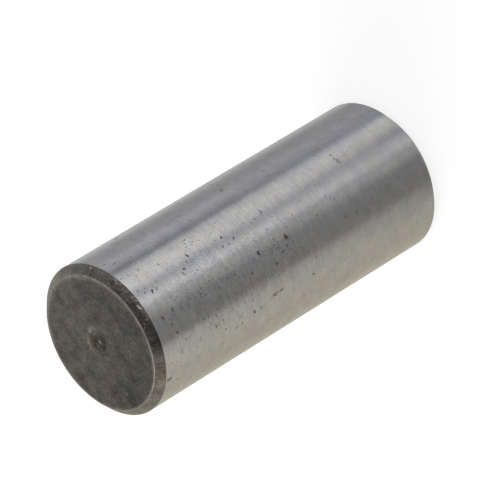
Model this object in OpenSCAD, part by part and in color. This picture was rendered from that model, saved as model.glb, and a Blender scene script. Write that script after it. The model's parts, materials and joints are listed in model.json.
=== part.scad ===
// Ground steel dowel pin, standing upright on its plain end face.
// The origin is the centre of the bottom face, and +Z runs along the axis to the marked end.
// All lengths are in millimetres.

/* [Body] */
// Diameter of the ground cylinder
pin_d = 12; // [6:0.5:25]
// Overall length from end face to end face
pin_l = 30; // [12:1:100]

/* [Ends] */
// Length of each chamfer, measured along the axis
chamfer_l = 0.6; // [0.3:0.05:1.2]
// Angle between each chamfer and the axis, in degrees
chamfer_angle = 45; // [20:1:60]
// Radius that breaks the edge between each chamfer and its end face
edge_r = 0.15; // [0.05:0.05:0.4]

/* [Centre mark] */
// Diameter of the shallow dish in the top face
dish_d = 1.7; // [1:0.1:3]
// Depth of the dish at its middle, without the pit
dish_depth = 0.22; // [0.1:0.02:0.4]
// Point angle of the conical pit in the middle of the dish, in degrees
pit_angle = 118; // [90:1:130]
// Depth of the pit's point below the dish's floor
pit_depth = 0.16; // [0.1:0.02:0.3]

/* [Hidden] */
// Chords in a full turn of the pin and of its small arcs
pin_facets = 192;
arc_facets = 64;

// Radius of the ground cylinder, and of the flat end face before its edge is broken
pin_r = pin_d / 2;
face_r = pin_r - chamfer_l * tan(chamfer_angle);

// Where the broken edge meets the end face, and where it meets the chamfer
edge_turn = 90 - chamfer_angle;
edge_centre_r = face_r - edge_r * tan(edge_turn / 2);
edge_end_r = edge_centre_r + edge_r * cos(chamfer_angle);
edge_end_z = edge_r - edge_r * sin(chamfer_angle);

// Radius of the ball that cuts the dish
dish_ball_r = (dish_d * dish_d / 4 + dish_depth * dish_depth) / (2 * dish_depth);

// The pit's cone is cut from its point up to half the dish's depth, where it runs out in the open
pit_h = pit_depth + dish_depth / 2;
pit_mouth_r = pit_h * tan(pit_angle / 2);

// One end of the half section, from the axis outwards, with the end face on the line y = 0
function end_points() = [
    [0, 0],
    [edge_centre_r, 0],
    [edge_end_r, edge_end_z],
    [pin_r, chamfer_l]
];

// The same end seen in the other direction, for the top of the half section
function top_points() = [for (i = [3:-1:0]) [end_points()[i][0], pin_l - end_points()[i][1]]];

// The round of one broken edge
module edge_round(z) {
    translate([edge_centre_r, z])
        circle(r = edge_r, $fn = arc_facets);
}

// Half of the section through the axis, to be turned about it
module half_section() {
    polygon(concat(end_points(), top_points()));
    edge_round(edge_r);
    edge_round(pin_l - edge_r);
}

// The turned and ground blank
module pin_blank() {
    rotate_extrude($fn = pin_facets)
        half_section();
}

// The dish and the pit in its middle, both sunk from the top face
module centre_mark() {
    translate([0, 0, pin_l - dish_depth + dish_ball_r])
        sphere(r = dish_ball_r, $fn = pin_facets);
    translate([0, 0, pin_l - dish_depth - pit_depth])
        cylinder(h = pit_h, r1 = 0, r2 = pit_mouth_r, $fn = arc_facets);
}

// The whole pin
module dowel_pin() {
    color([0.62, 0.62, 0.63])
        difference() {
            pin_blank();
            centre_mark();
        }
}

dowel_pin();
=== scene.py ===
"""Looks of the ground steel dowel pin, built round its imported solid.

Lengths in this script are millimetres until a mesh, lamp or camera is made. Angles are written in
degrees, apart from the phases of waves and outlines, which are in radians. An angle round the pin is 0
on the side of the camera and grows towards +X. The pin stands on its plain end, and the marked end is
on top.
"""

import json
import math
import random
from collections import namedtuple

import bpy
import numpy as np
from mathutils import Matrix, Vector
from mathutils.geometry import delaunay_2d_cdt


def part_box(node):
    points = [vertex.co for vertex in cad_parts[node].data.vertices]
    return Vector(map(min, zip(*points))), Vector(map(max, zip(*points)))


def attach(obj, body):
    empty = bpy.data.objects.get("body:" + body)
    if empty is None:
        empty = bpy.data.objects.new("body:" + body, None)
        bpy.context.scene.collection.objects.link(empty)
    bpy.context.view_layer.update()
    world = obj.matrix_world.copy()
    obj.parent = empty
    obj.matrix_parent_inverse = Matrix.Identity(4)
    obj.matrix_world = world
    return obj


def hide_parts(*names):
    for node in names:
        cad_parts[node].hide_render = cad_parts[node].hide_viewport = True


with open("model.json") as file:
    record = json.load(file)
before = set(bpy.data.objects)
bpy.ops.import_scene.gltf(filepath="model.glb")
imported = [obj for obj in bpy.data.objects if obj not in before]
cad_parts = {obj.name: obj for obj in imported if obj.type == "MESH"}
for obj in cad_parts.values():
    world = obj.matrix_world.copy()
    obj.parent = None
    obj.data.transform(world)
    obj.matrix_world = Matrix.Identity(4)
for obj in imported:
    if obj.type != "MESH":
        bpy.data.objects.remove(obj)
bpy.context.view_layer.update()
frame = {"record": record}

MM = 0.001
UP = np.array([0, 0, 1])

# Sizes of the pin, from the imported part
body_mount = next(m for m in frame["record"]["mounts"] if m["name"] == "ground_body")
PIN_R = body_mount["dims"]["r_mm"]
GROUND_L = body_mount["dims"]["length_mm"]
PIN_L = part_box("dowel_pin")[1].z / MM
CHAMFER_L = (PIN_L - GROUND_L) / 2

# Sizes of its small features, as in the part's source
CHAMFER_ANGLE = math.radians(45)
EDGE_R = 0.15
DISH_R = 0.85
DISH_DEPTH = 0.22
PIT_DEPTH = 0.16
PIT_SLOPE = math.tan(math.radians(59))

# Worked out from them: the flat face's radius, and lengths along the outline of the section
EDGE_CUT = EDGE_R * math.tan((math.pi / 2 - CHAMFER_ANGLE) / 2)
FLAT_R = PIN_R - CHAMFER_L * math.tan(CHAMFER_ANGLE) - EDGE_CUT
CHAMFER_SLANT = CHAMFER_L / math.cos(CHAMFER_ANGLE) - EDGE_CUT
EDGE_ARC = EDGE_R * (math.pi / 2 - CHAMFER_ANGLE)
HALF_GROUND = GROUND_L / 2
DISH_BALL_R = (DISH_R ** 2 + DISH_DEPTH ** 2) / (2 * DISH_DEPTH)

# The camera looks down past the marked end and is rolled, so that the axis slants across the frame
CAMERA_AIM = (0.12, 0.0, 14.2)
CAMERA_DISTANCE = 356.6
CAMERA_ELEVATION = 36.99
CAMERA_ROLL = -121.3
CAMERA_LENS = 349.5
SENSOR_WIDTH = 36.0

# Largest pits of the ground wall: angle, height, width round the pin, height along it, depth, darkness, rust
WALL_PITS = [
    (-4, 18.2, 0.30, 0.28, 0.07, 0.85, 0.8),
    (-4, 15.3, 0.34, 0.30, 0.08, 0.85, 0.8),
    (-6, 27.3, 0.32, 0.16, 0.06, 0.9, 0.1),
    (-7.5, 28.4, 0.28, 0.18, 0.05, 0.95, 0.0),
    (-6.7, 28.8, 0.16, 0.12, 0.03, 0.5, 0.0),
    (-13.5, 19.5, 0.20, 0.22, 0.05, 0.9, 0.0),
    (-16.5, 17.1, 0.28, 0.20, 0.05, 0.8, 0.7),
    (-12, 16.1, 0.16, 0.26, 0.05, 0.9, 0.0),
    (-9.5, 15.6, 0.22, 0.14, 0.05, 0.9, 0.0),
    (-5, 16.6, 0.14, 0.14, 0.03, 0.6, 0.0),
    (-1, 16.4, 0.20, 0.10, 0.03, 0.5, 0.0),
    (-8, 21.0, 0.22, 0.18, 0.04, 0.8, 0.0),
    (-10, 22.8, 0.20, 0.16, 0.04, 0.7, 0.0),
    (-6.7, 24.5, 0.22, 0.20, 0.04, 0.75, 0.0),
    (-8.8, 24.5, 0.20, 0.14, 0.04, 0.7, 0.0),
    (-3.5, 24.2, 0.16, 0.14, 0.03, 0.4, 0.6),
    (-14.8, 24.2, 0.18, 0.14, 0.03, 0.5, 0.0),
    (-14.7, 27.9, 0.26, 0.18, 0.04, 0.85, 0.0),
    (-21.5, 27.7, 0.30, 0.20, 0.04, 0.85, 0.0),
    (-23, 25.0, 0.26, 0.14, 0.04, 0.7, 0.0),
    (-23.3, 24.6, 0.24, 0.18, 0.04, 0.75, 0.0),
    (-23, 12.5, 0.18, 0.16, 0.03, 0.6, 0.0),
    (-15, 8.4, 0.20, 0.16, 0.03, 0.6, 0.3),
    (-2.5, 11.8, 0.16, 0.18, 0.03, 0.5, 0.3),
    (-33, 24.1, 0.42, 0.10, 0.03, 0.4, 0.7),
    (-36.6, 18.0, 0.26, 0.50, 0.02, 0.10, 0.7),
    (-35.9, 17.3, 0.22, 0.50, 0.02, 0.08, 0.7),
    (-35.2, 17.8, 0.20, 0.22, 0.02, 0.05, 0.5),
    (-36.7, 21.7, 0.30, 0.08, 0.02, 0.2, 0.7),
    (-40, 20.2, 0.22, 0.26, 0.05, 0.7, 0.4),
    (-40, 19.5, 0.14, 0.16, 0.04, 0.5, 0.4),
    (-39.5, 23.2, 0.16, 0.16, 0.04, 0.6, 0.1),
    (-39, 13.9, 0.18, 0.26, 0.04, 0.5, 0.2),
    (-43, 21.5, 0.22, 0.10, 0.03, 0.4, 0.6),
    (-52.6, 28.92, 0.28, 0.24, 0.05, 0.55, 0.6),
    (-52.5, 29.17, 0.26, 0.22, 0.04, 0.40, 0.7),
    (-56.6, 28.2, 0.16, 0.30, 0.02, 0.15, 0.4),
    (-39.7, 28.8, 0.18, 0.18, 0.03, 0.25, 0.2),
    (12.5, 27.88, 0.14, 0.22, 0.05, 0.7, 0.2),
    (11.5, 27.93, 0.16, 0.12, 0.05, 0.85, 0.2),
    (10.6, 27.99, 0.12, 0.10, 0.04, 0.75, 0.2),
    (12.3, 27.4, 0.14, 0.10, 0.03, 0.5, 0.2),
    (11.2, 27.5, 0.14, 0.10, 0.03, 0.6, 0.2),
    (17, 28.9, 0.14, 0.16, 0.03, 0.5, 0.0),
    (13.4, 28.5, 0.16, 0.16, 0.03, 0.6, 0.0),
    (11, 24.8, 0.24, 0.12, 0.04, 0.7, 0.0),
    (13.5, 24.5, 0.18, 0.20, 0.05, 0.8, 0.0),
    (20.5, 23.5, 0.28, 0.18, 0.05, 0.8, 0.0),
    (17, 23.9, 0.18, 0.10, 0.03, 0.6, 0.0),
    (32, 22.6, 0.16, 0.16, 0.04, 0.6, 0.0),
    (44, 20.7, 0.20, 0.16, 0.03, 0.4, 0.3),
    (13, 20.5, 0.24, 0.14, 0.04, 0.6, 0.0),
    (19, 20.1, 0.18, 0.26, 0.05, 0.6, 0.0),
    (14, 19.3, 0.20, 0.20, 0.05, 0.65, 0.0),
    (18, 16.7, 0.18, 0.18, 0.04, 0.5, 0.0),
    (20, 15.8, 0.26, 0.18, 0.04, 0.5, 0.0),
    (55, 16.2, 0.34, 0.34, 0.04, 0.45, 0.0),
    (22.5, 7.2, 0.48, 0.40, 0.03, 0.33, 0.1),
    (26, 7.3, 0.26, 0.20, 0.03, 0.25, 0.2),
    (18, 4.8, 0.22, 0.18, 0.03, 0.25, 0.0),
    (26, 25.9, 0.16, 0.12, 0.03, 0.4, 0.7),
    (30, 7.2, 0.36, 0.24, 0.03, 0.2, 0.0),
    (75, 25.1, 0.16, 0.40, 0.02, 0.5, 0.0),
    (45.6, 28.3, 0.12, 0.28, 0.02, 0.6, 0.0),
    (50.1, 28.8, 0.12, 0.28, 0.02, 0.5, 0.0),
]

# Nicks of the top chamfer: angle, place across it from 0 at the wall to 1 at the face, width, height, depth,
# darkness, rust
CHAMFER_PITS = [
    (35.3, 0.48, 0.30, 0.32, 0.04, 0.8, 0.5),
    (34.3, 0.55, 0.32, 0.32, 0.05, 0.9, 0.3),
    (33.4, 0.62, 0.24, 0.26, 0.04, 0.8, 0.5),
    (34.6, 0.30, 0.30, 0.20, 0.02, 0.55, 1.0),
    (55, 0.84, 0.22, 0.16, 0.03, 0.8, 0.7),
    (-44, 0.20, 0.30, 0.12, 0.02, 0.8, 0.7),
]

# Specks rubbed bright on the top chamfer: angle, place across it, width, height, brightness
CHAMFER_SPECKS = [
    (57, 0.26, 0.14, 0.28, 0.7),
    (8.3, 0.34, 0.20, 0.09, 1.5),
    (7.0, 0.29, 0.20, 0.10, 1.6),
    (5.8, 0.24, 0.20, 0.09, 1.5),
    (7.4, 0.42, 0.26, 0.08, 0.4),
    (12, 0.16, 0.16, 0.12, 1.1),
    (15.5, 0.22, 0.14, 0.12, 1.0),
    (-3, 0.30, 0.14, 0.16, 0.65),
    (-57, 0.52, 0.14, 0.16, 0.3),
    (64, 0.70, 0.30, 0.20, 0.15),
]

# Stains of the top chamfer, with broad painted light and shade that makes it lighter or darker by angle
# round the pin: angle, place across it, half angle, half width across it, tone
CHAMFER_STAINS_AND_PAINTED_LIGHT = [
    (-95, 0.35, 20, 0.70, 0.45),
    (-71, 0.50, 6, 0.40, -0.15),
    (-54, 0.45, 13, 0.80, 0.35),
    (-46, 0.45, 3, 0.30, -0.30),
    (-41, 0.70, 1.5, 0.15, -0.60),
    (-34, 0.20, 4, 0.30, 0.30),
    (-31, 0.85, 4, 0.30, 0.50),
    (-18, 0.35, 9, 0.50, -0.08),
    (0, 0.10, 6, 0.25, 0.80),
    (8, 0.20, 6, 0.22, 1.10),
    (24, 0.10, 14, 0.25, 1.50),
    (22, 0.55, 10, 0.30, 0.35),
    (42, 0.15, 8, 0.35, 0.72),
    (42, 0.55, 8, 0.40, 0.35),
    (60, 0.90, 8, 0.30, 0.45),
    (76, 0.50, 9, 0.35, -0.30),
    (102, 0.60, 14, 0.90, 0.75),
]

# Heat colours round the chamfers: angle, from -1 for blue to 1 for rusty, and from -1 for green to 1 for
# violet
CHAMFER_HUES = [
    (-110, 0.5, -0.5),
    (-80, 0.45, -0.5),
    (-65, 0.15, -0.45),
    (-45, 0.35, 0.0),
    (-25, -0.15, 0.0),
    (-10, -0.6, 0.7),
    (5, -0.4, 1.0),
    (20, -0.45, 0.5),
    (35, -0.15, 0.6),
    (60, -0.65, 0.5),
    (80, -0.3, 0.1),
    (95, 0.2, -0.3),
]

# Faint random marks of the top chamfer: how many there are all round, the share of pale ones among them, how
# many more pale ones there are at its front, and the range of angles and of places across it for both
CHAMFER_MARKS = 90
PALE_SHARE = 0.4
PALE_MARKS = 34
MARK_ANGLES = (-110, 110)
PALE_MARK_ANGLES = (0, 38)
MARK_PLACES = (0.1, 0.9)
PALE_MARK_PLACES = (0.08, 0.42)

# Ranges of those marks' half sizes round the pin and across the chamfer, of the darkness of dark ones, and
# of the bare metal of pale ones
MARK_WIDTHS = (0.05, 0.125)
MARK_HEIGHTS = (0.04, 0.08)
MARK_DARK = (0.15, 0.5)
MARK_BARE = (0.06, 0.3)

# Part of the wall whose grain is strong without many pits: angle, height, half angle, half height, strength
GRAINY_PART = (27, 14.5, 11, 6, 0.3)

# Small random pits of the wall: how many, the most in a group, how far a group spreads, and how likely one
# is far from the dense patch
SMALL_PITS = 760
GROUP_SIZE = 5
GROUP_SPREAD = 0.35
SPARSE_SHARE = 0.06

# Ranges of those pits' half sizes, of their stretch round the pin, and of their darkness, the share of rusty
# ones, and the angle below which the rest are a little rusty too
SMALL_PIT_SIZES = (0.030, 0.081)
SMALL_PIT_STRETCH = (0.7, 1.7)
SMALL_PIT_DARK = (0.15, 0.7)
RUSTY_SHARE = 0.2
RUSTY_SIDE = -28

# The dense patch, where the small pits lie closest: its middle, and how far it reaches
DENSE_ANGLE, DENSE_ANGLE_SPREAD = -5.0, 31.0
DENSE_HEIGHT, DENSE_HEIGHT_SPREAD = 21.5, 7.5

# Least distance of a pit from the back line of the pin, where the unrolled side is joined up
SEAM_CLEAR = 0.35

# How dark the small pits are round the wall: angle, and share of their full darkness
PIT_DARKNESS = [
    (-30, 0.5),
    (-24, 1.4),
    (-6, 1.4),
    (4, 0.75),
]

# Stains of the marked face, with painted shade in its dish, a painted highlight on the dish's rim, and broad
# painted light and shade that is lighter towards +X and +Y and darker towards -Y: x, y, half width, half
# height, and tone from -1 for dark to 1 for light
FACE_STAINS_AND_PAINTED_LIGHT = [
    (-4.60, 0.1, 0.65, 0.70, -0.6),
    # Painted shade in the dish of the centre mark, with one light spot in it
    (0.05, 0.10, 0.50, 0.50, -0.3),
    (0.35, -0.35, 0.30, 0.22, -0.4),
    (0.30, 0.45, 0.22, 0.22, -0.4),
    (0.10, 0.75, 0.35, 0.18, -0.4),
    (-0.45, 0.0, 0.20, 0.25, -0.4),
    (-0.42, -0.22, 0.12, 0.12, 0.4),
    (-0.85, -0.05, 0.15, 0.30, -0.5),
    (-0.45, -0.75, 0.22, 0.14, -0.6),
    (-0.56, -0.98, 0.12, 0.10, -0.4),
    # Painted highlight on the dish's rim, then a pale spot
    (1.13, 0.28, 0.16, 0.24, 0.8),
    (0.43, -1.6, 0.20, 0.15, 0.3),
    # Broad painted light and shade over the face, lighter towards +X and +Y and darker towards -Y
    (0.3, 0.4, 2.0, 2.0, 0.20),
    (3.2, 1.8, 2.2, 2.0, 0.40),
    (0.5, 3.6, 2.0, 1.5, 0.2),
    (-2.6, 1.6, 1.2, 1.2, 0.15),
    (-3.6, 0.0, 1.2, 1.2, -0.2),
    (2.9, -2.8, 1.2, 1.0, -0.15),
    (0.0, -4.3, 3.2, 1.1, -0.15),
    (-4.6, -2.0, 1.2, 2.0, -0.15),
    (-3.4, -3.5, 0.9, 0.9, -0.25),
    (2.2, -4.4, 1.2, 0.5, 0.3),
    (4.8, -0.3, 0.7, 2.4, 0.3),
]

# Painted shade in the dish of the centre mark, and the pale ring round it, partly a painted highlight that
# is brightest on one side: radii, their softness and their tone
DISH_PAINTED_SHADE = (0.86, 0.25, -0.55)
PALE_RING_AND_HIGHLIGHT = (1.24, 0.16, 0.45)

# Bright specks of the marked face, among them a painted glint in the dish and a painted highlight along the
# dish's rim: x, y, half width, half height, brightness
FACE_SPECKS_AND_GLINTS = [
    # Painted glint in the dish
    (0.05, 0.24, 0.20, 0.09, 1.0),
    (-0.45, -0.40, 0.12, 0.12, 0.15),
    # Painted highlight along the dish's rim, in four specks
    (1.13, 0.28, 0.22, 0.30, 0.9),
    (0.64, 1.05, 0.11, 0.18, 0.75),
    (0.45, 1.22, 0.13, 0.16, 1.0),
    (0.03, 1.38, 0.20, 0.12, 0.6),
    (-4.1, 0.45, 0.17, 0.17, 0.5),
    (2.9, -3.2, 0.12, 0.12, 0.3),
]

# Heat colours of the marked face: x, y, half width, half height, from -1 for blue to 1 for rusty, and from
# -1 for green to 1 for violet
FACE_HUES = [
    (-2.85, 1.9, 0.6, 0.6, 0.9, 0.0),
    (-2.75, -1.7, 0.5, 0.6, 0.7, -0.1),
    (-0.9, 4.5, 0.5, 0.3, 0.8, 0.0),
    (1.7, 3.7, 0.5, 0.4, 0.3, 0.8),
    (0.6, 2.7, 0.3, 0.4, 0.3, 0.9),
    (2.0, 1.7, 0.5, 0.4, 0.6, 0.4),
    (3.1, 0.3, 0.5, 0.4, 0.1, 0.9),
    (3.0, -1.2, 0.5, 0.4, 0.4, 0.9),
    (-2.1, -3.1, 0.6, 0.6, 0.0, 0.5),
    (0.7, -4.0, 0.5, 0.5, -0.1, 0.7),
    (-4.6, 0.0, 0.6, 0.6, -0.6, 0.0),
    (-1.8, 2.8, 1.3, 0.5, -0.5, -0.1),
    (3.8, -0.6, 0.4, 0.5, -0.4, 0.0),
    (2.2, -3.0, 1.2, 0.8, -0.7, 0.1),
    (-0.3, -3.8, 0.7, 0.9, -0.5, -0.1),
    (-3.6, -1.7, 0.5, 0.8, -0.5, -0.1),
    (1.3, 2.6, 0.4, 0.6, -0.3, -0.8),
    (-3.1, 0.0, 0.8, 0.9, -0.2, -0.6),
    (0.4, -1.3, 0.4, 0.5, 0.6, -0.8),
    (0.3, 1.3, 0.6, 0.3, 0.9, -0.7),
    (0.5, 0.7, 0.3, 0.25, 0.6, -0.7),
    (0.1, 0.1, 0.6, 0.6, 0.5, 0.0),
    (0.37, 0.1, 0.2, 0.2, 0.8, 1.3),
    (-0.5, -0.6, 0.3, 0.4, -0.1, -0.8),
]

# Bare metal of the broken edges, how far it reaches in over the face, and the painted highlight where the
# edge shines most: angle, half angle, and how much more bare metal is painted there
RIM_WORN = 0.6
RIM_REACH = 0.36
EDGE_PAINTED_HIGHLIGHT = (-44, 20, 1.1)

# Greatest depth of the scale's unevenness on a chamfer and on a face, and of the bump in both materials
CHAMFER_UNEVEN = 0.016
FACE_UNEVEN = 0.008
BUMP_DEPTH = 0.006

# Points of the mesh: columns round the pin, steps along the wall, up a chamfer, across a face and in the
# dish, the part of a face with the dish's steps, spacing round a pit, and the least gap
COLUMNS = 360
WALL_STEP = 0.75
CHAMFER_STEP = 0.1
FACE_STEP = 0.14
DISH_STEP = 0.06
FINE_R = 1.4
RING_SPACING = 0.035
POINT_GAP = 0.02

# Rings of points round a pit, as shares of its outline's radius: for a large pit and for a small one
LARGE_PIT_RINGS = (1.6, 1.14, 0.86, 0.5)
SMALL_PIT_RINGS = (1.14, 0.8)

# Outermost ring of points inside a face's border: its distance from that, and its points' spacing
BORDER_GAP = 0.06
BORDER_SPACING = 0.09

# Half the step over which slopes are measured, and the rounding, in decimals, that joins the patches
SLOPE_STEP = 0.004
WELD_DECIMALS = 4

# What the wall mirrors round the pin: angle on the wall, brightness of the card far out and at the wall's
# foot, and its warmth
BANDS = [
    (-90, 0.42, 0.42, 1.9),
    (-80, 0.62, 0.62, 1.4),
    (-74, 0.55, 0.56, 1.15),
    (-62, 0.50, 0.51, 1.1),
    (-50, 0.55, 0.495, 1.05),
    (-44, 0.575, 0.50, 0.95),
    (-38, 0.58, 0.44, 0.8),
    (-32, 0.55, 0.385, 0.6),
    (-26, 0.47, 0.30, 0.5),
    (-23, 0.24, 0.25, 0.3),
    (-20, 0.235, 0.25, 0.5),
    (-15, 0.24, 0.24, 0.3),
    (-10, 0.25, 0.25, -0.3),
    (-6, 0.27, 0.25, -0.1),
    (-2.5, 0.38, 0.33, 0.2),
    (1, 0.48, 0.42, 0.0),
    (4, 0.54, 0.42, -0.1),
    (7, 0.84, 0.51, -0.1),
    (9.5, 0.86, 0.57, -0.1),
    (12, 0.69, 0.56, -0.1),
    (16, 0.50, 0.49, -0.5),
    (18.5, 0.68, 0.37, -0.4),
    (21.5, 0.92, 0.44, 0.0),
    (25, 0.87, 0.58, 0.2),
    (28, 0.94, 0.66, 0.1),
    (30.5, 0.68, 0.69, 0.0),
    (33.5, 0.80, 0.70, -0.2),
    (35, 0.66, 0.63, -0.4),
    (36.5, 0.26, 0.44, -0.9),
    (38.5, 0.10, 0.35, -1.0),
    (40.5, 0.38, 0.40, -0.7),
    (42.5, 0.52, 0.41, -0.5),
    (46, 0.46, 0.38, -0.4),
    (49, 0.74, 0.42, -0.4),
    (51.5, 0.42, 0.40, -0.4),
    (57, 0.42, 0.38, -0.35),
    (66, 0.37, 0.36, -0.1),
    (74, 0.65, 0.61, 0.05),
    (82, 0.68, 0.66, 0.1),
    (90, 0.45, 0.45, 0.2),
]

# Those cards: how far they run over the floor until their colour is the far one, and until they stand up,
# how high they stand, their lift off the floor, how many lie round the front, and the red and blue of their
# warmth
CARD_NEAR, CARD_FAR, CARD_TOP = 40.0, 80.0, 30.0
CARD_LIFT = 0.02
CARD_COUNT = 360
WARM_RED, WARM_BLUE = 0.043, -0.15

# Cards that the dark scale mirrors: distance from the pin's top, step between their points in degrees, then
# azimuths, elevations and brightness
FLAG_DISTANCE = 250.0
FLAG_STEP = 6
FLAGS = {
    "dark_flag": ((-72, 72), (36, 76), 0.05),
    "side_flag": ((72, 118), (10, 55), 0.60),
    "grey_flag": ((148, 207), (16, 62), 0.41),
}

# Colours of the ground steel: the clean metal, its dark grains, rust, the bottom of a pit, and two shifts of
# red, green and blue by which the clean metal varies
STEEL = (0.585, 0.577, 0.575)
GRAIN_BROWN = (0.16, 0.14, 0.13, 1)
RUST_BROWN = (0.20, 0.115, 0.065, 1)
PIT_BLACK = (0.045, 0.036, 0.030, 1)
STEEL_WARM = (0.02, 0.015, -0.035)
STEEL_ROSY = (0.02, -0.015, 0.0)

# Colours of the heat scale: how much of the light it throws back, its tint, the tint of rust in it, metal
# rubbed bare, the brightest specks and painted glints, and the shifts of red, green and blue of its heat
# colours
SCALE_SHARE = 0.028
SCALE_TINT = (1.025, 0.937, 0.795)
RUST_TINT = (1.6, 1.1, 0.7, 1)
BARE_METAL = (0.47, 0.44, 0.40, 1)
PALE_SPECK_AND_GLINT = (0.86, 0.75, 0.73, 1)
HEAT_WARM = (0.11, -0.02, -0.10)
HEAT_VIOLET = (0.03, -0.06, 0.045)

# A pit round its outline, in shares of the outline's radius: where its dark ends and how softly, where its
# faint halo ends and how strong that is, where its rust ends, and how far from its middle it is looked for
DARK_END, DARK_SOFTNESS = 1.02, 0.15
HALO_END, HALO_STRENGTH = 1.6, 0.45
RUST_END = 1.45
PIT_REACH = 2.2

# Range of the random phases, about a full turn in radians
PHASES = (0, 6.3)

# Values that each point of the mesh holds for the materials
POINT_VALUES = ("dark", "rust", "wear_and_glint", "tone", "warm", "violet")

# A pit, mark or bright speck at the flat place (a, b) of a surface
Pit = namedtuple("Pit", "a b half_a half_b depth dark rust bare phase")


# Relief of the surface

def blob_edge(angle, phase):
    """Outline of a pit as a factor on its radius, uneven round its middle."""
    return (1 + 0.24 * np.sin(2 * angle + phase) + 0.18 * np.sin(3 * angle + 2.3 * phase)
            + 0.10 * np.sin(5 * angle + 4.1 * phase))


def read_pits(a, b, pits):
    """Depth, darkness, rust and bare metal at flat points (a, b) of a surface that has these pits.

    For each pit, q is 0 in its middle, 1 on its outline, and more outside it."""
    depth, dark, rust, bare = np.zeros((4, len(a)))
    for pit in pits:
        reach = PIT_REACH * max(pit.half_a, pit.half_b)
        near = np.flatnonzero((np.abs(a - pit.a) < reach) & (np.abs(b - pit.b) < reach))
        across = (a[near] - pit.a) / pit.half_a
        along = (b[near] - pit.b) / pit.half_b
        q = np.hypot(across, along) / blob_edge(np.arctan2(along, across), pit.phase)
        halo = np.clip(HALO_STRENGTH * (HALO_END - q), 0, 1)
        inside = np.maximum(np.clip((DARK_END - q) / DARK_SOFTNESS, 0, 1), halo)
        depth[near] = np.maximum(depth[near], pit.depth * np.clip(1 - q ** 2, 0, 1))
        dark[near] = np.maximum(dark[near], pit.dark * inside)
        rust[near] = np.maximum(rust[near], pit.rust * np.clip(RUST_END - q, 0, 1))
        bare[near] = np.maximum(bare[near], pit.bare * inside)
    return depth, dark, rust, bare


def pit_points(pit, spacing):
    """Rings of points round a pit, outside its rim and inside it."""
    wide = max(pit.half_a, pit.half_b)
    points = [(pit.a, pit.b)]
    for q in LARGE_PIT_RINGS if wide > 1.5 * spacing else SMALL_PIT_RINGS:
        count = max(8, int(2 * math.pi * q * wide / spacing))
        for i in range(count):
            angle = 2 * math.pi * (i + 3 * q) / count
            edge = q * float(blob_edge(angle, pit.phase))
            a = pit.a + pit.half_a * edge * math.cos(angle)
            b = pit.b + pit.half_b * edge * math.sin(angle)
            points.append((a, b))
    return points


def ripple(places, wavelength, seed, waves=14):
    """Smooth uneven relief through space, mostly from -1 to 1: plane waves in seeded random directions."""
    draw = np.random.RandomState(seed)
    total = np.zeros(len(places))
    for _ in range(waves):
        way = draw.normal(size=3)
        way *= 2 * math.pi / (wavelength * draw.uniform(0.7, 1.4) * np.linalg.norm(way))
        total += np.sin(places @ way + draw.uniform(0, 2 * math.pi))
    return total / math.sqrt(waves)


def with_slopes(relief, a, b):
    """A relief at flat points (a, b), and its slopes along a and along b."""
    slope_a = (relief(a + SLOPE_STEP, b) - relief(a - SLOPE_STEP, b)) / (2 * SLOPE_STEP)
    slope_b = (relief(a, b + SLOPE_STEP) - relief(a, b - SLOPE_STEP)) / (2 * SLOPE_STEP)
    return relief(a, b), slope_a, slope_b


def wear(places):
    """Uneven factor on the bare metal of the worn edges, about 1."""
    return 1 + 0.3 * ripple(places, 0.9, 31)


def blobs(x, y, rows):
    """Sum of soft round patches at flat points, from rows of middle, half sizes and strength."""
    total = np.zeros(len(x))
    for middle_x, middle_y, half_x, half_y, strength in rows:
        total += strength * np.exp(-((x - middle_x) / half_x) ** 2 - ((y - middle_y) / half_y) ** 2)
    return total


def along_list(places, rows, column=1):
    """Values between the rows of a list that holds the place first."""
    return np.interp(places, [row[0] for row in rows], [row[column] for row in rows])


# The side: ground wall, chamfers and broken edges, unrolled to u round the pin and v along the outline

def side_outline(v):
    """Radius, height, and the normal's radial and upward parts, at length v from the middle of the wall."""
    beyond = np.abs(v) - HALF_GROUND
    slant = np.clip(beyond, 0, CHAMFER_SLANT)
    turn = np.clip(beyond - CHAMFER_SLANT, 0, EDGE_ARC) / EDGE_R
    tilt = np.where(beyond > 1e-9, CHAMFER_ANGLE + turn, 0.0)
    sin_c, cos_c = math.sin(CHAMFER_ANGLE), math.cos(CHAMFER_ANGLE)
    radius = PIN_R - slant * sin_c + EDGE_R * (np.cos(CHAMFER_ANGLE + turn) - cos_c)
    rise = slant * cos_c + EDGE_R * (np.sin(CHAMFER_ANGLE + turn) - sin_c)
    height = np.sign(v) * (np.minimum(np.abs(v), HALF_GROUND) + rise)
    return radius, PIN_L / 2 + height, np.cos(tilt), np.sign(v) * np.sin(tilt)


def side_height(u, v, pits):
    """Relief of the side along its normal, never above the solid."""
    beyond = np.abs(v) - HALF_GROUND
    across = np.clip(beyond / CHAMFER_SLANT, 0, 1)
    turn = u / PIN_R
    places = np.stack([PIN_R * np.sin(turn), -PIN_R * np.cos(turn), v], 1)
    rough = 0.5 + 0.25 * ripple(places, 0.55, 11) + 0.25 * ripple(places, 0.2, 12)
    scale = CHAMFER_UNEVEN * np.clip(rough, 0, 1) * np.sin(math.pi * across)
    return -np.maximum(read_pits(u, v, pits)[0], scale)


def dense_patch(angle, height):
    """How close the pits of the wall lie at a place, from 0 to 1."""
    across = (angle - DENSE_ANGLE) / DENSE_ANGLE_SPREAD
    along = (height - DENSE_HEIGHT) / DENSE_HEIGHT_SPREAD
    return np.exp(-across ** 2 - along ** 2)


def random_size(draw, low, high):
    """A random size between two, small ones as likely as large ones."""
    return low * (high / low) ** draw.random()


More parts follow.
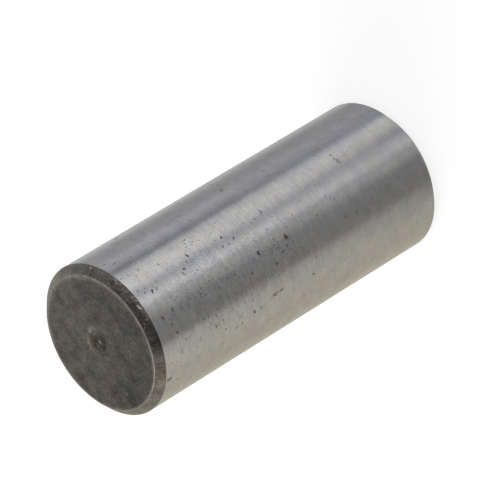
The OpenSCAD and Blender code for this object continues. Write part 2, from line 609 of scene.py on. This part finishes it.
def random_pits(draw):
    """Small pits in loose groups, closest together in the dense patch and fainter at the wall's foot."""
    pits = []
    while len(pits) < SMALL_PITS:
        angle = draw.uniform(-176, 176)
        height = draw.uniform(0.2, PIN_L - 0.2)
        if draw.random() > SPARSE_SHARE + (1 - SPARSE_SHARE) * dense_patch(angle, height):
            continue
        for _ in range(draw.randint(1, GROUP_SIZE)):
            u = PIN_R * math.radians(angle) + draw.gauss(0, GROUP_SPREAD)
            v = height - PIN_L / 2 + draw.gauss(0, GROUP_SPREAD)
            size = random_size(draw, *SMALL_PIT_SIZES)
            stretch = draw.uniform(*SMALL_PIT_STRETCH)
            dark = draw.uniform(*SMALL_PIT_DARK) * min(1, 0.2 + height / 27)
            dark *= along_list(angle, PIT_DARKNESS)
            rust = 0.6 if draw.random() < RUSTY_SHARE else 0.3 if angle < RUSTY_SIDE else 0.0
            phase = draw.uniform(*PHASES)
            if abs(v) < HALF_GROUND - 0.1:
                pits.append(Pit(u, v, size * stretch, size / stretch, 0.1 * size, dark, rust, 0, phase))
    return pits


def chamfer_marks(draw):
    """Faint dark and pale marks all round the top chamfer, and pale ones in the outer part of its front."""
    marks = []
    for i in range(CHAMFER_MARKS + PALE_MARKS):
        everywhere = i < CHAMFER_MARKS
        angle = draw.uniform(*(MARK_ANGLES if everywhere else PALE_MARK_ANGLES))
        across = draw.uniform(*(MARK_PLACES if everywhere else PALE_MARK_PLACES))
        pale = draw.random() < PALE_SHARE or not everywhere
        wide = random_size(draw, *MARK_WIDTHS)
        tall = random_size(draw, *MARK_HEIGHTS)
        dark = 0.0 if pale else draw.uniform(*MARK_DARK)
        bare = draw.uniform(*MARK_BARE) if pale else 0.0
        u = PIN_R * math.radians(angle)
        v = HALF_GROUND + across * CHAMFER_SLANT
        marks.append(Pit(u, v, wide, tall, 0.008, dark, 0.1, bare, draw.uniform(*PHASES)))
    return marks


def side_pits():
    """All pits of the side and the bare specks of its chamfer, in unrolled millimetres."""
    draw = random.Random(4)
    pits = []
    for angle, height, wide, tall, depth, dark, rust in WALL_PITS:
        u = PIN_R * math.radians(angle)
        phase = draw.uniform(*PHASES)
        pits.append(Pit(u, height - PIN_L / 2, wide / 2, tall / 2, depth, dark, rust, 0, phase))
    for angle, across, wide, tall, depth, dark, rust in CHAMFER_PITS:
        u = PIN_R * math.radians(angle)
        v = HALF_GROUND + across * CHAMFER_SLANT
        pits.append(Pit(u, v, wide / 2, tall / 2, depth, dark, rust, 0, draw.uniform(*PHASES)))
    for angle, across, wide, tall, bright in CHAMFER_SPECKS:
        u = PIN_R * math.radians(angle)
        v = HALF_GROUND + across * CHAMFER_SLANT
        pits.append(Pit(u, v, wide / 2, tall / 2, 0.01, 0, 0, bright, draw.uniform(*PHASES)))
    pits += chamfer_marks(draw) + random_pits(draw)
    return [pit for pit in pits if abs(pit.a) < math.pi * PIN_R - SEAM_CLEAR]


def thin_out(points, gap):
    """The points in their order, without any that fall in the same small square as an earlier one."""
    seen = set()
    kept = []
    for a, b in points:
        cell = (round(a / gap), round(b / gap))
        if cell not in seen:
            seen.add(cell)
            kept.append((a, b))
    return kept


def triangulate(points):
    """Delaunay triangles of flat points, as the points used and counter-clockwise triples."""
    found = delaunay_2d_cdt([Vector(p) for p in points], [], [], 0, 1e-7, True)
    faces, given = found[2:4]
    corners = np.array([points[same[0]] for same in given])
    faces = np.array(faces)
    a, b, c = (corners[faces[:, i]] for i in range(3))
    area = (b[:, 0] - a[:, 0]) * (c[:, 1] - a[:, 1]) - (b[:, 1] - a[:, 1]) * (c[:, 0] - a[:, 0])
    faces = faces[np.abs(area) > 1e-9]
    area = area[np.abs(area) > 1e-9]
    faces[area < 0] = faces[area < 0][:, ::-1]
    return corners, faces


def steps(low, high, step):
    """Even places from low to high, both included, about one step apart."""
    return np.linspace(low, high, max(1, round((high - low) / step)) + 1)


def side_points(pits):
    """Flat points for the side's mesh: its borders, rings round the pits, and rows in between."""
    half = math.pi * PIN_R
    columns = np.linspace(-half, half, COLUMNS + 1)
    rows = steps(-HALF_GROUND, HALF_GROUND, WALL_STEP)
    round_off = CHAMFER_SLANT + EDGE_ARC * np.array([0.33, 0.67, 1])
    ends = HALF_GROUND + np.concatenate([steps(0, CHAMFER_SLANT, CHAMFER_STEP), round_off])
    border = [(u, v) for v in (-ends[-1], -ends[0], ends[0], ends[-1]) for u in columns]
    border += [(u, v) for v in np.concatenate([-ends, ends, rows]) for u in (-half, half)]
    rings = [p for pit in pits for p in pit_points(pit, RING_SPACING) if abs(p[1]) < ends[-1] - POINT_GAP]
    inside = [(u, v) for v in np.concatenate([-ends[1:-1], ends[1:-1]]) for u in columns[1:-1]]
    grid = [(u, v) for v in rows[1:-1] for u in columns[1:-1]]
    return thin_out(border + rings + inside + grid, POINT_GAP)


def side_axes(turn, out, up):
    """Directions at places of the side: round the pin, along its outline, and out of a surface that faces
    by these parts outwards and upwards."""
    radial = np.stack([np.sin(turn), -np.cos(turn), 0 * turn], 1)
    around = np.stack([np.cos(turn), np.sin(turn), 0 * turn], 1)
    along = -radial * up[:, None] + UP * out[:, None]
    return around, along, radial * out[:, None] + UP * up[:, None]


def side_normals(turn, out, up, slope_u, slope_v):
    """Normals of a surface that faces by these parts outwards and upwards, tilted by the relief's slopes."""
    around, along, normal = side_axes(turn, out, up)
    tilted = normal - around * slope_u[:, None] - along * slope_v[:, None]
    return tilted / np.linalg.norm(tilted, axis=1)[:, None]


def side_wear_and_glint(v, angle, places, bare):
    """Bare metal of the side: its specks, and the broken edges, with more bare metal painted as a highlight
    where the edge shines most.
    """
    edge = np.clip((np.abs(v) - HALF_GROUND - CHAMFER_SLANT) / EDGE_ARC, 0, 1)
    middle, half_angle, strength = EDGE_PAINTED_HIGHLIGHT
    # painted highlight: more bare metal where the edge shines most
    painted_highlight = strength * np.sin(math.pi * edge) * np.exp(-((angle - middle) / half_angle) ** 2)
    return np.maximum(bare, RIM_WORN * (edge + painted_highlight) * wear(places))


def side_tone(v, angle, height):
    """How strong the grain of the wall is, and the tone of the top chamfer's stains and painted light and
    shade.
    """
    busy = dense_patch(angle, height) + blobs(angle, height, [GRAINY_PART])
    across = (v - HALF_GROUND) / CHAMFER_SLANT
    chamfer_stains_and_light = np.where(across > 0.02, blobs(angle, across, CHAMFER_STAINS_AND_PAINTED_LIGHT), 0)
    return np.where(np.abs(v) < HALF_GROUND, busy, chamfer_stains_and_light)


def side_patch():
    """Mesh patch of the whole side, with a sharp edge between the wall and each chamfer."""
    pits = side_pits()
    points, faces = triangulate(side_points(pits))
    u, v = points.T
    turn = u / PIN_R
    angle = np.degrees(turn)
    radius, height, out, up = side_outline(v)
    relief, slope_u, slope_v = with_slopes(lambda a, b: side_height(a, b, pits), u, v)

    radial = side_axes(turn, np.ones(len(v)), np.zeros(len(v)))[2]
    smooth = side_axes(turn, out, up)[2]
    places = radial * radius[:, None] + UP * height[:, None] + smooth * relief[:, None]

    wall_normals = side_normals(turn, np.ones(len(v)), np.zeros(len(v)), slope_u, slope_v)
    edge_up = np.sign(v) * np.sin(np.maximum(np.arcsin(np.abs(up)), CHAMFER_ANGLE))
    end_normals = side_normals(turn, np.sqrt(1 - edge_up ** 2), edge_up, slope_u, slope_v)
    on_wall = np.abs(v[faces].mean(1)) < HALF_GROUND
    normals = np.where(on_wall[:, None, None], wall_normals[faces], end_normals[faces])

    _, dark, rust, bare = read_pits(u, v, pits)
    return {"places": places, "faces": faces, "normals": normals, "slot": np.where(on_wall, 0, 1),
            "dark": dark, "rust": rust, "wear_and_glint": side_wear_and_glint(v, angle, places, bare),
            "tone": side_tone(v, angle, height),
            "warm": along_list(angle, CHAMFER_HUES), "violet": along_list(angle, CHAMFER_HUES, 2)}


# The two end faces

def face_height(x, y, marked):
    """Relief of an end face along its normal, never above the solid, with a dish that isn't quite round."""
    r = np.hypot(x, y)
    places = np.stack([x, y, 0 * x], 1)
    uneven = 0.5 + 0.3 * ripple(places, 1.6, 21) + 0.2 * ripple(places, 0.5, 22)
    flat = FACE_UNEVEN * np.clip(uneven, 0, 1) * np.clip((FLAT_R - r) / 0.3, 0, 1)
    if not marked:
        return -flat
    turn = np.arctan2(y, x)
    wobble = r / (1 + 0.04 * np.sin(2 * turn + 1) + 0.03 * np.sin(3 * turn))
    dish = np.sqrt(np.clip(DISH_BALL_R ** 2 - wobble ** 2, 0, None)) - (DISH_BALL_R - DISH_DEPTH)
    cone = DISH_DEPTH + PIT_DEPTH - wobble / PIT_SLOPE
    return -np.maximum(np.maximum(dish, cone), flat)


def face_tone(x, y):
    """Light and dark of the marked face: its stains with broad painted light and shade, painted shade in the
    dish, and the pale ring round that, partly a painted highlight which is brightest on one side."""
    r = np.hypot(x, y)
    dish_r, dish_soft, dish_tone = DISH_PAINTED_SHADE
    ring_r, ring_soft, ring_tone = PALE_RING_AND_HIGHLIGHT
    # painted shade inside the dish
    dish = np.clip((dish_r - r) / dish_soft + 0.5, 0, 1)
    # pale ring, with a painted highlight that is brightest on one side
    ring = np.exp(-((r - ring_r) / ring_soft) ** 2) * (1 + 0.9 * np.cos(np.arctan2(y, x) - 0.7))
    return blobs(x, y, FACE_STAINS_AND_PAINTED_LIGHT) + dish_tone * dish + ring_tone * ring


def face_wear_and_glint(x, y, places, marked):
    """Bare metal of an end face: its bright specks, among them the painted glint in the dish and the painted
    highlight on its rim, and the rim, which fades inwards and is widest and barest on the +X side."""
    turn = np.arctan2(x, -y)
    reach = RIM_REACH * (0.88 + 0.22 * np.cos(turn - 1.8))
    rim = np.clip((np.hypot(x, y) - FLAT_R + reach) / reach, 0, 1)
    wear_and_glint = RIM_WORN * (0.70 + 0.24 * np.cos(turn - 1.5)) * rim ** 1.4 * wear(places)
    for speck_x, speck_y, half_x, half_y, bright in FACE_SPECKS_AND_GLINTS if marked else []:
        away = np.hypot((x - speck_x) / half_x, (y - speck_y) / half_y)
        wear_and_glint = np.maximum(wear_and_glint, bright * np.clip(1 - away, 0, 1))
    return wear_and_glint


def face_points(marked):
    """Flat points for a face's mesh: its border, and rings inside it, closer in the centre mark."""
    turns = np.linspace(-math.pi, math.pi, COLUMNS + 1)[:-1]
    points = [(FLAT_R * math.sin(t), -FLAT_R * math.cos(t)) for t in turns]
    radii = list(steps(FINE_R, FLAT_R - BORDER_GAP, FACE_STEP)[::-1])
    radii += list(steps(0.0, FINE_R, DISH_STEP if marked else FACE_STEP)[::-1][1:])
    draw = random.Random(8)
    for i, r in enumerate(radii):
        step = radii[i - 1] - r if i else BORDER_SPACING
        count = max(1, round(2 * math.pi * r / step))
        start = draw.random()
        turns = [2 * math.pi * (k + start) / count for k in range(count)]
        points += [(r * math.sin(t), -r * math.cos(t)) for t in turns]
    return points


def face_patch(marked):
    """Mesh patch of one end face: the top one with its centre mark, or the plain bottom one."""
    corners, faces = triangulate(face_points(marked))
    x, y = corners.T
    relief, slope_x, slope_y = with_slopes(lambda a, b: face_height(a, b, marked), x, y)
    normals = np.stack([-slope_x, -slope_y, np.ones(len(x))], 1)
    normals /= np.linalg.norm(normals, axis=1)[:, None]
    places = np.stack([x, y, PIN_L + relief], 1)
    if not marked:
        places[:, 2] = -relief
        normals[:, 2] *= -1
        faces = faces[:, ::-1]
    wear_and_glint = face_wear_and_glint(x, y, places, marked)
    tone = face_tone(x, y) if marked else 0 * x
    warm = blobs(x, y, [row[:4] + row[4:5] for row in FACE_HUES]) if marked else 0 * x
    violet = blobs(x, y, [row[:4] + row[5:6] for row in FACE_HUES]) if marked else 0 * x
    return {"places": places, "faces": faces, "normals": normals[faces], "slot": np.ones(len(faces), int),
            "dark": 0 * x, "rust": 0 * x, "wear_and_glint": wear_and_glint, "tone": tone, "warm": warm, "violet": violet}


def joined(patches):
    """Points, faces, the faces' normals and slots, and the points' values, welded where patches meet."""
    starts = np.cumsum([0] + [len(p["places"]) for p in patches])
    places = np.concatenate([p["places"] for p in patches])
    faces = np.concatenate([p["faces"] + s for p, s in zip(patches, starts)])
    normals = np.concatenate([p["normals"] for p in patches])
    slots = np.concatenate([p["slot"] for p in patches])
    rounded = np.round(places, WELD_DECIMALS)
    _, first, weld = np.unique(rounded, axis=0, return_index=True, return_inverse=True)
    faces = weld.ravel()[faces]
    whole = (faces[:, 0] != faces[:, 1]) & (faces[:, 1] != faces[:, 2]) & (faces[:, 2] != faces[:, 0])
    values = {name: np.concatenate([p[name] for p in patches])[first] for name in POINT_VALUES}
    return places[first], faces[whole], normals[whole], slots[whole], values


def build_pin(materials):
    """The whole pin as one closed mesh, with its own normals and the values that the materials read."""
    places, faces, normals, slots, values = joined([side_patch(), face_patch(True), face_patch(False)])
    mesh = bpy.data.meshes.new("dowel_pin_surface")
    mesh.from_pydata((places * MM).tolist(), [], faces.tolist())
    for material in materials:
        mesh.materials.append(material)
    mesh.polygons.foreach_set("material_index", slots.astype(np.int32))
    mesh.polygons.foreach_set("use_smooth", np.ones(len(faces), bool))
    for name, numbers in values.items():
        mesh.attributes.new(name, "FLOAT", "POINT").data.foreach_set("value", numbers.astype(np.float32))
    mesh.normals_split_custom_set(normals.reshape(-1, 3).tolist())
    pin = bpy.data.objects.new("ground_pin", mesh)
    bpy.context.scene.collection.objects.link(pin)
    return pin


# Materials

def add_node(tree, kind, settings=None, inputs=None):
    """A shader node with its settings, and each input set to a value or linked to a socket."""
    made = tree.nodes.new(kind)
    for name, value in (settings or {}).items():
        setattr(made, name, value)
    for name, value in (inputs or {}).items():
        if isinstance(value, bpy.types.NodeSocket):
            tree.links.new(value, made.inputs[name])
        else:
            made.inputs[name].default_value = value
    return made


def new_material(name):
    """An empty node material and its output."""
    material = bpy.data.materials.new(name)
    material.use_nodes = True
    material.node_tree.nodes.clear()
    return material, material.node_tree, add_node(material.node_tree, "ShaderNodeOutputMaterial")


def math_node(tree, operation, a, b=0.0):
    """The result of one sum."""
    return add_node(tree, "ShaderNodeMath", {"operation": operation}, {0: a, 1: b}).outputs[0]


def blend_colours(tree, factor, a, b):
    """Colour a where factor is 0 and b where it is 1."""
    return add_node(tree, "ShaderNodeMix", {"data_type": "RGBA"}, {0: factor, 6: a, 7: b}).outputs[2]


def ramp(tree, value, low, high, to_low=0.0, to_high=1.0):
    """The value, taken from low..high to to_low..to_high and held there."""
    inputs = {"Value": value, "From Min": low, "From Max": high, "To Min": to_low, "To Max": to_high}
    return add_node(tree, "ShaderNodeMapRange", {}, inputs).outputs[0]


def spread(tree, lumps, low, high):
    """A noise, whose values lie mostly from 0.3 to 0.7, spread out from low to high."""
    return ramp(tree, lumps, 0.3, 0.7, low, high)


def noise(tree, size, detail, roughness, stretch=(1, 1, 1), shift=0):
    """Noise through the object's own space, with lumps of about this size in millimetres."""
    where = add_node(tree, "ShaderNodeTexCoord").outputs["Object"]
    scale = tuple(1 / (MM * size * s) for s in stretch)
    inputs = {"Vector": where, "Scale": scale, "Location": (shift, shift, shift)}
    moved = add_node(tree, "ShaderNodeMapping", {}, inputs)
    inputs = {"Vector": moved.outputs[0], "Scale": 1.0, "Detail": detail, "Roughness": roughness}
    return add_node(tree, "ShaderNodeTexNoise", {}, inputs).outputs[0]


def attribute(tree, name):
    """A number stored on the mesh's points."""
    return add_node(tree, "ShaderNodeAttribute", {"attribute_name": name}).outputs["Fac"]


def scaled(tree, colour, factor):
    """A colour made lighter or darker by a factor."""
    inputs = {0: colour, "Scale": factor}
    return add_node(tree, "ShaderNodeVectorMath", {"operation": "SCALE"}, inputs).outputs[0]


def tinted(tree, colour, amount, shift):
    """A colour with each part changed by a share of itself: an amount times the shift."""
    inputs = {0: amount, 1: shift, 2: (1, 1, 1)}
    factor = add_node(tree, "ShaderNodeVectorMath", {"operation": "MULTIPLY_ADD"}, inputs)
    inputs = {0: colour, 1: factor.outputs[0]}
    return add_node(tree, "ShaderNodeVectorMath", {"operation": "MULTIPLY"}, inputs).outputs[0]


def bump(tree, height, strength):
    """The surface's normal, bent by a fine relief."""
    inputs = {"Strength": strength, "Distance": BUMP_DEPTH * MM, "Height": height}
    return add_node(tree, "ShaderNodeBump", {}, inputs).outputs[0]


def steel_colour(tree, busy, contrast, cloud, grain):
    """Colour of the clean ground steel: uneven, faintly tinted, and with dark grains."""
    warm = noise(tree, 0.8, 3, 0.6, shift=3)
    rosy = noise(tree, 0.5, 2, 0.6, shift=15)
    brush = noise(tree, 0.28, 3, 0.6, stretch=(5, 5, 1), shift=19)
    speck = noise(tree, 0.14, 1, 0.5, shift=17)
    grainy = spread(tree, grain, -0.085, 0.085)
    brushed = spread(tree, brush, -0.11, 0.11)
    uneven = math_node(tree, "MULTIPLY", math_node(tree, "ADD", grainy, brushed), contrast)
    uneven = math_node(tree, "ADD", uneven, spread(tree, cloud, 0.93, 1.07))
    colour = scaled(tree, STEEL, uneven)
    colour = tinted(tree, colour, ramp(tree, warm, 0.35, 0.65, -1, 1), STEEL_WARM)
    colour = tinted(tree, colour, ramp(tree, rosy, 0.35, 0.65, -1, 1), STEEL_ROSY)
    spots = ramp(tree, speck, 0.60, 0.74, 0, 0.5)
    spots = math_node(tree, "MULTIPLY", spots, ramp(tree, busy, 0, 0.8, 0.1, 1))
    return blend_colours(tree, spots, colour, GRAIN_BROWN)


def ground_steel():
    """Bright steel, ground round the axis, with dark or rusty pits."""
    material, tree, output = new_material("ground_steel")
    dark, rust, busy = attribute(tree, "dark"), attribute(tree, "rust"), attribute(tree, "tone")
    contrast = ramp(tree, busy, 0, 0.6, 0.36, 1.0)
    cloud = noise(tree, 1.1, 3, 0.6)
    grain = noise(tree, 0.25, 3, 0.6, shift=5)
    streak = noise(tree, 0.1, 2, 0.6, stretch=(12, 12, 1), shift=9)

    colour = steel_colour(tree, busy, contrast, cloud, grain)
    colour = blend_colours(tree, ramp(tree, rust, 0.05, 0.8, 0, 0.75), colour, RUST_BROWN)
    colour = blend_colours(tree, ramp(tree, dark, 0.05, 0.95, 0, 0.9), colour, PIT_BLACK)
    metal = ramp(tree, dark, 0.2, 0.8, 1.0, 0.2)
    gloss = spread(tree, cloud, 0.165, 0.2)
    gloss = math_node(tree, "MAXIMUM", gloss, ramp(tree, dark, 0.1, 0.6, 0.2, 0.6))
    height = math_node(tree, "ADD", math_node(tree, "MULTIPLY", streak, 0.5), grain)
    around = add_node(tree, "ShaderNodeTangent", {"direction_type": "RADIAL", "axis": "Z"})
    surface = add_node(tree, "ShaderNodeBsdfPrincipled", {}, {
        "Base Color": colour, "Metallic": metal, "Roughness": gloss, "Normal": bump(tree, height, contrast),
        "Tangent": around.outputs[0], "Anisotropic": 1.0, "Anisotropic Rotation": 0.25})
    tree.links.new(surface.outputs[0], output.inputs["Surface"])
    return material


def scale_film(tree):
    """Tint of the heat scale: heat colours that wander about those of the place, and rust."""
    warm = spread(tree, noise(tree, 0.5, 3, 0.6, shift=13), -0.7, 0.7)
    violet = spread(tree, noise(tree, 0.4, 3, 0.6, shift=23), -1.0, 1.0)
    warm = math_node(tree, "ADD", warm, attribute(tree, "warm"))
    violet = math_node(tree, "ADD", violet, attribute(tree, "violet"))
    film = tinted(tree, SCALE_TINT, warm, HEAT_WARM)
    film = tinted(tree, film, violet, HEAT_VIOLET)
    return blend_colours(tree, ramp(tree, attribute(tree, "rust"), 0.05, 0.8, 0, 0.6), film, RUST_TINT)


def scale_shade(tree, grain):
    """Light and dark of the heat scale: its stains and painted light and shade, its coarse and fine
    unevenness, and its dark nicks.
    """
    cloud = noise(tree, 1.0, 2, 0.5, shift=2)
    shade = ramp(tree, attribute(tree, "tone"), -1, 1, 0.25, 1.75)
    shade = math_node(tree, "MULTIPLY", shade, spread(tree, cloud, 0.66, 1.34))
    shade = math_node(tree, "MULTIPLY", shade, spread(tree, grain, 0.56, 1.44))
    return math_node(tree, "MULTIPLY", shade, ramp(tree, attribute(tree, "dark"), 0.05, 0.95, 1, 0.25))


def heat_scale():
    """Dark grey-brown scale left by hardening, rubbed to bare metal along the broken edges, with painted
    glints and highlights as bare and pale metal, and painted light and shade in its tone.
    """
    material, tree, output = new_material("heat_scale")
    wear_and_glint = attribute(tree, "wear_and_glint")
    grain = noise(tree, 0.17, 3, 0.7, shift=7)
    film = scale_film(tree)
    shade = scale_shade(tree, grain)
    # bare metal of worn edges and specks, and of painted glints and highlights
    bare_and_glint = math_node(tree, "MULTIPLY", wear_and_glint, ramp(tree, grain, 0.3, 0.6, 0.5, 1.0))
    # pale metal of the brightest specks and of painted glints
    pale = ramp(tree, wear_and_glint, 1.0, 1.3)

    colour = scaled(tree, film, math_node(tree, "MULTIPLY", shade, SCALE_SHARE))
    colour = blend_colours(tree, bare_and_glint, colour, BARE_METAL)
    colour = blend_colours(tree, pale, colour, PALE_SPECK_AND_GLINT)
    metal = math_node(tree, "SUBTRACT", bare_and_glint, pale)
    mirror = math_node(tree, "MULTIPLY", shade, 0.5)
    gloss = spread(tree, grain, 0.30, 0.40)
    surface = add_node(tree, "ShaderNodeBsdfPrincipled", {}, {
        "Base Color": colour, "Metallic": metal, "Roughness": gloss, "Normal": bump(tree, grain, 1.0),
        "IOR": 1.9, "Specular IOR Level": mirror, "Specular Tint": film})
    tree.links.new(surface.outputs[0], output.inputs["Surface"])
    return material


# The studio

def shown_directly(tree):
    """1 for what the camera sees itself, in metal or through glass, and 0 for light on surfaces."""
    rays = add_node(tree, "ShaderNodeLightPath").outputs
    seen = math_node(tree, "MAXIMUM", rays["Is Camera Ray"], rays["Is Glossy Ray"])
    return math_node(tree, "MAXIMUM", seen, rays["Is Transmission Ray"])


def make_world(soft_light):
    """White all round, which lights surfaces more softly than it looks."""
    world = bpy.data.worlds.new("studio")
    bpy.context.scene.world = world
    world.use_nodes = True
    tree = world.node_tree
    tree.nodes.clear()
    strength = ramp(tree, shown_directly(tree), 0, 1, soft_light, 1.0)
    light = add_node(tree, "ShaderNodeBackground", {}, {"Color": (1, 1, 1, 1), "Strength": strength})
    output = add_node(tree, "ShaderNodeOutputWorld")
    tree.links.new(light.outputs[0], output.inputs["Surface"])


def make_floor(half, paleness, shadow_share, own_light):
    """A pale floor that lights the pin, shows white by its own light and keeps a share of its shadow."""
    mesh = bpy.data.meshes.new("floor")
    corners = [(-half, -half), (half, -half), (half, half), (-half, half)]
    mesh.from_pydata([(x * MM, y * MM, 0) for x, y in corners], [], [(0, 1, 2, 3)])
    floor = bpy.data.objects.new("floor", mesh)
    bpy.context.scene.collection.objects.link(floor)
    material, tree, output = new_material("pale_floor")
    seen = shown_directly(tree)
    tone = ramp(tree, seen, 0, 1, paleness, shadow_share)
    matt = add_node(tree, "ShaderNodeBsdfDiffuse", {}, {"Color": tone})
    glow = add_node(tree, "ShaderNodeEmission", {}, {"Strength": ramp(tree, seen, 0, 1, 0, own_light)})
    both = add_node(tree, "ShaderNodeAddShader", {}, {0: matt.outputs[0], 1: glow.outputs[0]})
    tree.links.new(both.outputs[0], output.inputs["Surface"])
    mesh.materials.append(material)


def make_card(name, places, faces, colours):
    """A lit card of any shape, in one colour for each point, which only the pin's metal and scale mirror."""
    mesh = bpy.data.meshes.new(name)
    mesh.from_pydata([p * MM for p in places], [], faces)
    layer = mesh.attributes.new("glow", "FLOAT_COLOR", "POINT")
    layer.data.foreach_set("color", np.array([(*c, 1) for c in colours]).ravel())
    card = bpy.data.objects.new(name, mesh)
    bpy.context.scene.collection.objects.link(card)
    material, tree, output = new_material(name)
    colour = add_node(tree, "ShaderNodeAttribute", {"attribute_name": "glow"}).outputs["Color"]
    glow = add_node(tree, "ShaderNodeEmission", {}, {"Color": colour})
    tree.links.new(glow.outputs[0], output.inputs["Surface"])
    mesh.materials.append(material)
    for kind in ("camera", "diffuse", "transmission", "volume_scatter", "shadow"):
        setattr(card, "visible_" + kind, False)


def make_bands():
    """Cards laid round the pin and stood up behind, in stripes. Each stripe leaves the wall's foot the way
    the camera's view is thrown off the wall there, so it shows as a straight band along the whole wall."""
    angles, far_glow, foot_glow, warmth = np.array(BANDS).T
    edges = np.linspace(-90, 90, CARD_COUNT + 1)
    glows = [np.interp(edges, angles, values) for values in (far_glow, foot_glow, warmth)]
    places = []
    colours = []
    for turn, bright, foot_bright, warm in zip(np.radians(edges), *glows):
        foot = Vector((PIN_R * math.sin(turn), -PIN_R * math.cos(turn), CARD_LIFT))
        way = Vector((math.sin(2 * turn), -math.cos(2 * turn), 0))
        far = foot + way * CARD_FAR
        colour = Vector((1 + WARM_RED * warm, 1, 1 + WARM_BLUE * warm))
        places += [foot, foot + way * CARD_NEAR, far, far + Vector((0, 0, CARD_TOP))]
        colours += [colour * foot_bright, colour * bright, colour * bright, colour * bright]
    faces = []
    for i in range(len(edges)):
        here, there = 4 * i, 4 * ((i + 1) % len(edges))
        faces += [(here + k, here + k + 1, there + k + 1, there + k) for k in range(3)]
    make_card("bands", places, faces, colours)


def direction(azimuth, elevation):
    """The way to a place seen from the pin, with azimuth 0 on the side of the camera."""
    a, e = math.radians(azimuth), math.radians(elevation)
    return Vector((math.sin(a) * math.cos(e), -math.cos(a) * math.cos(e), math.sin(e)))


def make_flag(name, azimuths, elevations, brightness):
    """A curved card far round the pin's top, from one azimuth and elevation to another."""
    across = steps(*azimuths, FLAG_STEP)
    rows = steps(*elevations, FLAG_STEP)
    top = Vector((0, 0, PIN_L))
    places = [direction(a, e) * FLAG_DISTANCE + top for e in rows for a in across]
    faces = []
    for j in range(len(rows) - 1):
        for i in range(len(across) - 1):
            corner = j * len(across) + i
            faces.append((corner, corner + 1, corner + len(across) + 1, corner + len(across)))
    make_card(name, places, faces, [Vector((1, 1, 1)) * brightness] * len(places))


def make_lamp(name, azimuth, elevation, distance, size, energy):
    """A soft square lamp that looks at the middle of the pin and is not mirrored in it."""
    lamp = bpy.data.lights.new(name, "AREA")
    lamp.size = size * MM
    lamp.energy = energy
    holder = bpy.data.objects.new(name, lamp)
    bpy.context.scene.collection.objects.link(holder)
    holder.visible_glossy = False
    way = direction(azimuth, elevation)
    holder.location = (way * distance + Vector((0, 0, PIN_L / 2))) * MM
    holder.rotation_euler = way.to_track_quat("Z", "Y").to_euler()


def make_camera():
    """The photograph's view of the pin."""
    camera = bpy.data.cameras.new("camera")
    camera.sensor_width = SENSOR_WIDTH
    camera.lens = CAMERA_LENS
    camera.clip_start = 0.01
    camera.clip_end = 10
    holder = bpy.data.objects.new("camera", camera)
    bpy.context.scene.collection.objects.link(holder)
    bpy.context.scene.camera = holder
    e = math.radians(CAMERA_ELEVATION)
    stand = Vector((0, -CAMERA_DISTANCE * math.cos(e), CAMERA_AIM[2] + CAMERA_DISTANCE * math.sin(e)))
    look = (Vector(CAMERA_AIM) - stand).to_track_quat("-Z", "Y").to_matrix().to_4x4()
    roll = Matrix.Rotation(math.radians(CAMERA_ROLL), 4, "Z")
    holder.matrix_world = Matrix.Translation(stand * MM) @ look @ roll


make_camera()
make_world(soft_light=0.6)
make_floor(half=1500, paleness=0.8, shadow_share=0.2, own_light=0.85)
make_bands()
for name, flag in FLAGS.items():
    make_flag(name, *flag)
make_lamp("key", azimuth=-138, elevation=50, distance=500, size=250, energy=1.0)
bpy.context.scene.view_settings.view_transform = "Standard"

pin = build_pin([ground_steel(), heat_scale()])
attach(pin, "root")
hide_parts("dowel_pin")
